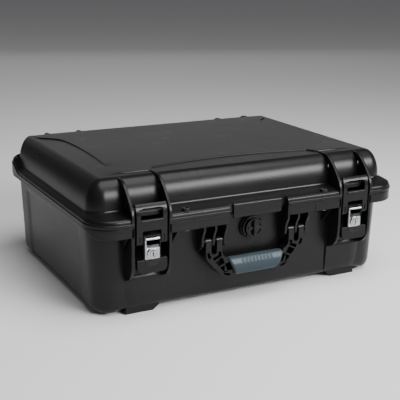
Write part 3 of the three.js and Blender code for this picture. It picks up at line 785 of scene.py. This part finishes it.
# ---- Foam liners ---------------------------------------------------------------------------------
# Open-cell polyurethane: a flat pad on the floor, a diced block whose cubes are
# plucked out to fit the contents, and an egg-crate sheet glued inside the lid. All are
# cut from slab and simply pushed or glued in.


def open_cell_foam(name):
    finish = Finish(name, Roughness=0.95)
    place = finish.place()
    cells = finish.node("ShaderNodeTexVoronoi", {"feature": "F1"}, {"Vector": place, "Scale": 620.0})
    fibre = finish.noise(place, 1500, 3, 0.6)
    patch = finish.noise(place, 18, 3, 0.5)
    height = cells * 0.8 + fibre * 0.4
    # Painted shade: the colour follows the bump height, so the pores of the cells are darker and the strands
    # between them lighter; the large patches add random tone.
    pore_shade_and_patches = finish.between(height + (patch - 0.5) * 0.3, 0.2, 0.95)
    finish.feed("Base Color", finish.blend(pore_shade_and_patches, (0.012, 0.012, 0.013, 1), (0.060, 0.060, 0.064, 1)))
    finish.feed("Normal", finish.relief(height, 0.0005, 0.9))
    return finish.material


foam = open_cell_foam("open_cell_foam")


def diced_block():
    """The block keeps its cut cubes round a rectangular pocket, each one slightly crowned."""
    across, along = 32, 23
    half, front, rear = 252.4, -178.4, 188.4
    pocket_half, pocket_front, pocket_rear = 200.4, -120.4, 130.4
    gap = 0.25
    slab = prism(rounded(-252.6, 252.6, -178.6, 188.6, 24), "z", 29.2, 128)
    pocket = prism(rounded(-pocket_half, pocket_half, pocket_front, pocket_rear, 14), "z", 48.2, 140)
    solids = [carved(slab, pocket)]
    for i in range(across):
        for j in range(along):
            x0, x1 = (-half + n * 2 * half / across for n in (i, i + 1))
            y0, y1 = (front + n * (rear - front) / along for n in (j, j + 1))
            x, y = (x0 + x1) / 2, (y0 + y1) / 2
            over_pocket = abs(x) < pocket_half + 0.1
            beside_pocket = pocket_front - 0.1 < y < pocket_rear + 0.1
            corner = i in (0, across - 1) and j in (0, along - 1)
            if corner or (over_pocket and beside_pocket):
                continue
            x0 = max(x0, -252)
            if over_pocket and y0 < pocket_front < y1:
                y1 = pocket_front - 0.2
            if over_pocket and y0 < pocket_rear < y1:
                y0 = pocket_rear + 0.2
            top = 139.4 - 0.5 * ((i * 7 + j * 5) % 5) / 4
            solids.append(block(x0 + gap, x1 - gap, y0 + gap, y1 - gap, 126, top, 1.1))
    return solids


block_piece = piece("diced_foam", "base", foam, diced_block(), ["foam_block"], 50)

pad_solid = soften(prism(rounded(-247.6, 247.6, -173.6, 183.6, 24), "z", 14.6, 27.8), 1.5)
pad = piece("floor_foam", "base", foam, [pad_solid], ["floor_pad"], 50)


def egg_crate():
    """A sheet with a flat back and rows of rounded peaks that hang towards the contents."""
    half, front, rear, low, back = 239.6, -159.6, 163.6, 172.4, 209.2
    across, along, pitch = 144, 96, 40
    columns = [-half + i * 2 * half / across for i in range(across + 1)]
    rows = [front + j * (rear - front) / along for j in range(along + 1)]
    sheet = bmesh.new()
    under, over = [], []
    for y in rows:
        under_line, over_line = [], []
        for x in columns:
            wave = math.cos(2 * math.pi * x / pitch) * math.cos(2 * math.pi * y / pitch)
            edge = min(half - abs(x), y - front, rear - y)
            z = low + 1 + 13 * (0.5 - 0.5 * wave) + 1.5 * (1 - ease(edge, 0, 4))
            under_line.append(sheet.verts.new((x, y, z)))
            over_line.append(sheet.verts.new((x, y, back)))
        under.append(under_line)
        over.append(over_line)
    bridged(sheet, under, closed=False)
    bridged(sheet, over, closed=False)
    rim = [(0, i) for i in range(across + 1)] + [(j, across) for j in range(1, along + 1)]
    rim += [(along, i) for i in range(across - 1, -1, -1)] + [(j, 0) for j in range(along - 1, 0, -1)]
    bridged(sheet, [[side[j][i] for j, i in rim] for side in (under, over)])
    bmesh.ops.recalc_face_normals(sheet, faces=sheet.faces[:])
    return sheet


lid_liner = piece("egg_crate_foam", "lid", foam, [egg_crate()], ["lid_foam"], 60, False)

# ---- Pressure valve ------------------------------------------------------------------------------
# A nylon body screwed through the front wall with a nut and a rubber washer, and a knob turned by hand to
# let air in before the case is opened.

hardware_plastic = moulded_plastic(
    "hardware_plastic", (0.0034, 0.0034, 0.0037, 1), (0.007, 0.007, 0.0076, 1), 0.27)


def round_valve(radius, low, high, count):
    """A disc about the axis of the valve, from low to high along it."""
    return prism(disc(0, VALVE_Z, radius, count), "y", low, high)


def studs(number, first_turn, reach, radius, count, low, high):
    """Small cutters spaced evenly round the valve."""
    cutters = []
    for i in range(number):
        turn = first_turn + 2 * math.pi * i / number
        place = (reach * math.cos(turn), VALVE_Z + reach * math.sin(turn))
        cutters.append(prism(disc(*place, radius, count), "y", low, high))
    return cutters


def valve_housing_solids():
    ring = carved(round_valve(18.9, -202.1, -199.0, 64), round_valve(15.9, -206, -200.6, 64))
    notches = studs(4, math.radians(45), 18.6, 1.7, 16, -206, -196)
    stem = prism(disc(0, VALVE_Z, 8.4, 48), "y", -200, -182, 0.5)
    return [soften(carved(ring, *notches), 0.5), stem]


def valve_knob_solids():
    cap = carved(round_valve(14.9, -206.2, -201.0, 64), round_valve(12.6, -210, -204.6, 64))
    wing = prism(rounded(-2.9, 2.9, VALVE_Z - 12.6, VALVE_Z + 12.6, 2.4), "y", -210.1, -203)
    cross = prism(rounded(-12.2, 12.2, VALVE_Z - 2.6, VALVE_Z + 2.6, 2.0), "y", -207.6, -203)
    grips = studs(24, math.pi / 24, 15.2, 0.8, 8, -208, -199)
    return [soften(carved(cap, *grips), 0.35), soften(wing, 0.9), soften(cross, 0.7)]


piece("valve_housing", "base", hardware_plastic, valve_housing_solids(), ["valve_body"])
piece("valve_knob_face", "knob", hardware_plastic, valve_knob_solids(), ["valve_knob"])
fitted(["valve_nut"], hardware_plastic, 0.0003)
fitted(["valve_seal"], seal_rubber, 0.0003)

# ---- Handle --------------------------------------------------------------------------------------
# A glass-filled nylon bow, cored out from the front to leave thin rims and cross webs. Each arm ends in a
# fork on a steel pin between the ribs of the base.


def arm_outline(side):
    path = [(90.5, 106.5), (90.5, 86), (89.6, 81), (87.6, 77), (84, 72.5), (66, 52), (62, 47.8), (57.6, 45.3),
            (53, 44.2), (48, 44), (38.2, 44), (38.6, 46), (52.5, 77), (56, 78.5), (59.4, 82), (61.5, 86.5),
            (61.5, 106.5)]
    return [(side * a, b) for a, b in path]


def handle_arm(side):
    arm = prism(arm_outline(side), "y", -212.6, -199.0)
    knuckle = prism(disc(-205.5, 106.5, 6.4, 32), "x", *sorted((side * 61.5, side * 90.5)))
    slot = prism(rounded(*sorted((side * 71.2, side * 80.8)), 85.4, 130, (4.8, 4.8, 0, 0)), "y", -230, -190)
    pockets = [
        [(64, 89), (68.4, 89), (68.4, 83.2), (78, 79.6), (75.4, 74.5), (62.4, 81.2)],
        [(83.4, 89), (88, 89), (88, 86), (86.8, 82.2), (84.4, 78.2), (80.4, 81.8), (83.4, 85)],
        [(62.6, 78.6), (74, 72.4), (66.8, 64.2), (57, 68.4), (59.6, 75.6)],
        [(56, 66), (65, 62), (57.8, 53.8), (50.6, 52.4)],
        [(48.6, 50.4), (55.8, 51.6), (60.6, 53.4), (57, 49.4), (52.6, 47), (45, 46.8)],
    ]
    cores = [prism([(side * a, b) for a, b in pocket], "y", -216, -203.6) for pocket in pockets]
    made = carved(fused(arm, knuckle), slot, *cores)
    return soften(made, 0.55, 2, 30)


handle_bar = block(-57, 57, -212.6, -203.4, 54.4, 68.6, 1.0)
piece("handle_bow", "handle", hardware_plastic, [handle_arm(-1), handle_arm(1), handle_bar],
      ["handle_frame"])

# ---- Handle grip ---------------------------------------------------------------------------------
# A blue-grey thermoplastic rubber sleeve moulded over the bar of the handle, with a row of short ridges
# for the fingers along its upper front.


def grip_rubber():
    finish = Finish("grip_rubber", IOR=1.36)
    place = finish.place()
    skin = finish.noise(place, 1100, 3, 0.6)
    highlight_edge_noise = finish.noise(place, 60, 4, 0.6)
    height = finish.node("ShaderNodeSeparateXYZ", {}, {0: place}, output="Z")
    # Painted highlight: the upper part of the sleeve gets the lighter blue-grey and a little less roughness,
    # blending in from about 52 to 78 mm high with a noisy edge.
    lightened = finish.between(height + (highlight_edge_noise - 0.5) * 0.012, 0.052, 0.078)
    finish.feed("Base Color", finish.blend(lightened, (0.016, 0.027, 0.036, 1), (0.034, 0.052, 0.065, 1)))
    finish.feed("Roughness", 0.46 + (skin - 0.5) * 0.16 - lightened * 0.06)
    finish.feed("Normal", finish.relief(skin, 0.00007, 0.7))
    return finish.material


def grip_sleeve():
    """The sleeve has a squared oval section, ends sloped like the arms, and a row of finger ridges."""
    middle_y, middle_z, half_y, half_z = -208.25, 60.75, 11.6, 14.6
    stations, around, squareness, ridge_pitch = 180, 48, 0.72, 6.5
    rings = []
    for i in range(stations + 1):
        s = -1 + 2 * i / stations
        end = 1 - 0.10 * ease(abs(s), 0.94, 1.0)
        ring = []
        for k in range(around):
            turn = 2 * math.pi * k / around
            c, n = math.cos(turn), math.sin(turn)
            y = math.copysign(abs(c) ** squareness, c)
            z = math.copysign(abs(n) ** squareness, n)
            x = s * mix(37.4, 50.4, (z * half_z * end + half_z) / (2 * half_z))
            groove = ease(z, 0.36, 0.56) * (1 - ease(z, 0.78, 0.92)) * ease(-y, 0.1, 0.45)
            ridge = (0.5 + 0.5 * math.cos(2 * math.pi * x / ridge_pitch)) ** 1.5 if abs(x) < 29.3 else 0.0
            swell = 1.0 - 0.075 * (1 - ridge) * groove
            ring.append((x, middle_y + y * half_y * end * swell,
                         middle_z + z * half_z * end * mix(1, swell, 0.4)))
        rings.append(ring)
    return swept(rings)


piece("grip_sleeve", "handle", grip_rubber(), [grip_sleeve()], ["handle_grip"], 45)

# ---- Latches -------------------------------------------------------------------------------------
# Each latch is a nylon lever that turns on a pin between two fins of the base, and a claw
# that turns on a second pin in the lever and pulls on the strike of the lid. The lever
# ends in a ribbed tab for the fingers.

LOCK_Z = 107  # height of the lock barrel in the lever


def latch_claw_solids(x):
    profile = [(-212.7, 182.8), (-213.4, 179.5), (-216, 168), (-216, 145), (-213.6, 141), (-212.6, 124.6),
               (-213.7, 121.5), (-216.4, 120.7), (-219.4, 121.7), (-220.7, 124.6), (-221.3, 150),
               (-221.4, 165), (-221.1, 168.2), (-220.5, 171.6), (-219.4, 176.4), (-217.8, 180.4),
               (-215.6, 182.8), (-213.8, 183.4)]
    claw = prism(profile, "x", x - 24.8, x + 24.8)
    window = prism(rounded(x - 18, x + 18, 160, 177, (2.6, 2.6, 4.5, 4.5)), "y", -230, -205)
    gap = prism(rounded(x - 15.2, x + 15.2, 110, 142.5, (0, 0, 2.5, 2.5)), "y", -230, -205)
    slots = [prism(rounded(x + side * 20 - 1.1, x + side * 20 + 1.1, 124.5, 134.5, 1.0), "y", -230, -219.6)
             for side in (-1, 1)]
    ledge = prism(rounded(-222.6, -218, 155.6, 159.8, 1.8), "x", x - 17.6, x + 17.6, 0.5)
    return [soften(carved(claw, window, gap, *slots), 1.2, 3, 32), ledge]


def latch_lever_solids(x):
    spine = [(-204, 121), (-204.6, 129), (-208, 131), (-213, 134.6), (-216, 135.9), (-219, 135.9),
             (-220.6, 134.8), (-221, 133), (-221, 96), (-211.6, 96), (-211.6, 112)]
    body = prism(spine, "x", x - 13.8, x + 13.8)
    recess = prism(rounded(x - 12.3, x + 12.3, 97.7, 132.4, 1.5), "y", -224, -219.5)
    scoop = prism(rounded(x - 12.2, x + 12.2, 112, 132.2, 1.5), "y", -224, -216.4)
    barrel = prism(disc(x, LOCK_Z, 7.6), "y", -224, -212.8)
    tab = prism(rounded(x - 24.7, x + 24.7, 77.2, 98.2, (9, 9, 1, 1)), "y", -222.9, -213.2)
    slope = prism([(-240, 70), (-223.3, 70), (-221.6, 88), (-221.0, 99), (-221.0, 110), (-240, 110)],
                  "x", x - 40, x + 40)
    made = [soften(carved(body, recess, scoop, barrel), 0.5, 2, 32), soften(carved(tab, slope), 1.0, 3, 32)]
    for z, half in ((95.6, 12), (93.2, 11), (90.8, 9.5), (88.4, 7.5)):
        made.append(prism(rounded(-222.6, -220.6, z - 0.65, z + 0.65, 0.6), "x", x - half, x + half, 0.4))
    return made


for side, end in ((-1, "left"), (1, "right")):
    x = side * BAY
    piece(f"claw_{end}_moulding", f"claw_{end}", hardware_plastic, latch_claw_solids(x),
          [f"latch_claw_{end}"])
    piece(f"lever_{end}_moulding", f"lever_{end}", hardware_plastic, latch_lever_solids(x),
          [f"latch_lever_{end}"])

# ---- Key locks -----------------------------------------------------------------------------------
# A pressed and polished steel plate sits in the front of each lever. Its upper part is
# scooped, with a rolled lip above and a flange at one side, and its foot holds a turned
# barrel. The key turns the plug inside it.


def lock_round(x, radius, low, high, count):
    """A disc about the axis of the lock at x, from low to high along it."""
    return prism(disc(x, LOCK_Z, radius, count), "y", low, high)


def lock_plate(x):
    foot = carved(prism(rounded(x - 11.9, x + 11.9, 98.2, 114.5, 1.6), "y", -221.7, -220.0),
                  lock_round(x, 7.4, -225, -219, 40))
    scoop = prism([(-221.5, 113.5), (-219.8, 118), (-217.6, 131.6), (-216.8, 131.6), (-216.8, 113.5)],
                  "x", x - 9, x + 11.6, 0.3)
    bend = [(-11.9, -216.8), (-11.9, -221.2), (-11.4, -221.9), (-10.4, -222.1), (-9.4, -221.5),
            (-8.4, -220.2), (-7.6, -218.6), (-7.2, -216.8)]
    flange = prism([(x + a, y) for a, y in bend], "z", 113.5, 131.6, 0.2)
    roll = [(-219.9, 131.7), (-222.8, 131.7), (-223.6, 130.6), (-223.6, 128.7), (-222.6, 128.0),
            (-221.2, 128.9)]
    lip = prism(roll, "x", x - 11.4, x + 11.4, 0.5)
    barrel = carved(lock_round(x, 8.4, -224.0, -213.6, 56), lock_round(x, 5.45, -226, -215.2, 48))
    groove = carved(lock_round(x, 8.8, -223.0, -222.3, 56), lock_round(x, 7.4, -226, -215, 56))
    return [soften(foot, 0.45, 3, 32), scoop, flange, lip, soften(carved(barrel, groove), 0.4, 3, 32)]


def lock_plug(x):
    keyway = prism(rounded(x - 0.8, x + 0.8, LOCK_Z - 3.6, LOCK_Z + 3.6, 0.6), "y", -226, -218.4)
    return [soften(carved(lock_round(x, 5.0, -224.5, -216.1, 48), keyway), 0.35, 2, 32)]


plate_steel = drawn_steel("polished_plate", (0.34, 0.35, 0.36, 1), 0.15, (0.52, 0.53, 0.54, 1))
for side, end in ((-1, "left"), (1, "right")):
    x = side * BAY
    piece(f"lock_{end}_plate", f"lever_{end}", plate_steel, lock_plate(x), [f"lock_barrel_{end}"])
    piece(f"plug_{end}_turned", f"plug_{end}", plate_steel, lock_plug(x), [f"lock_plug_{end}"])
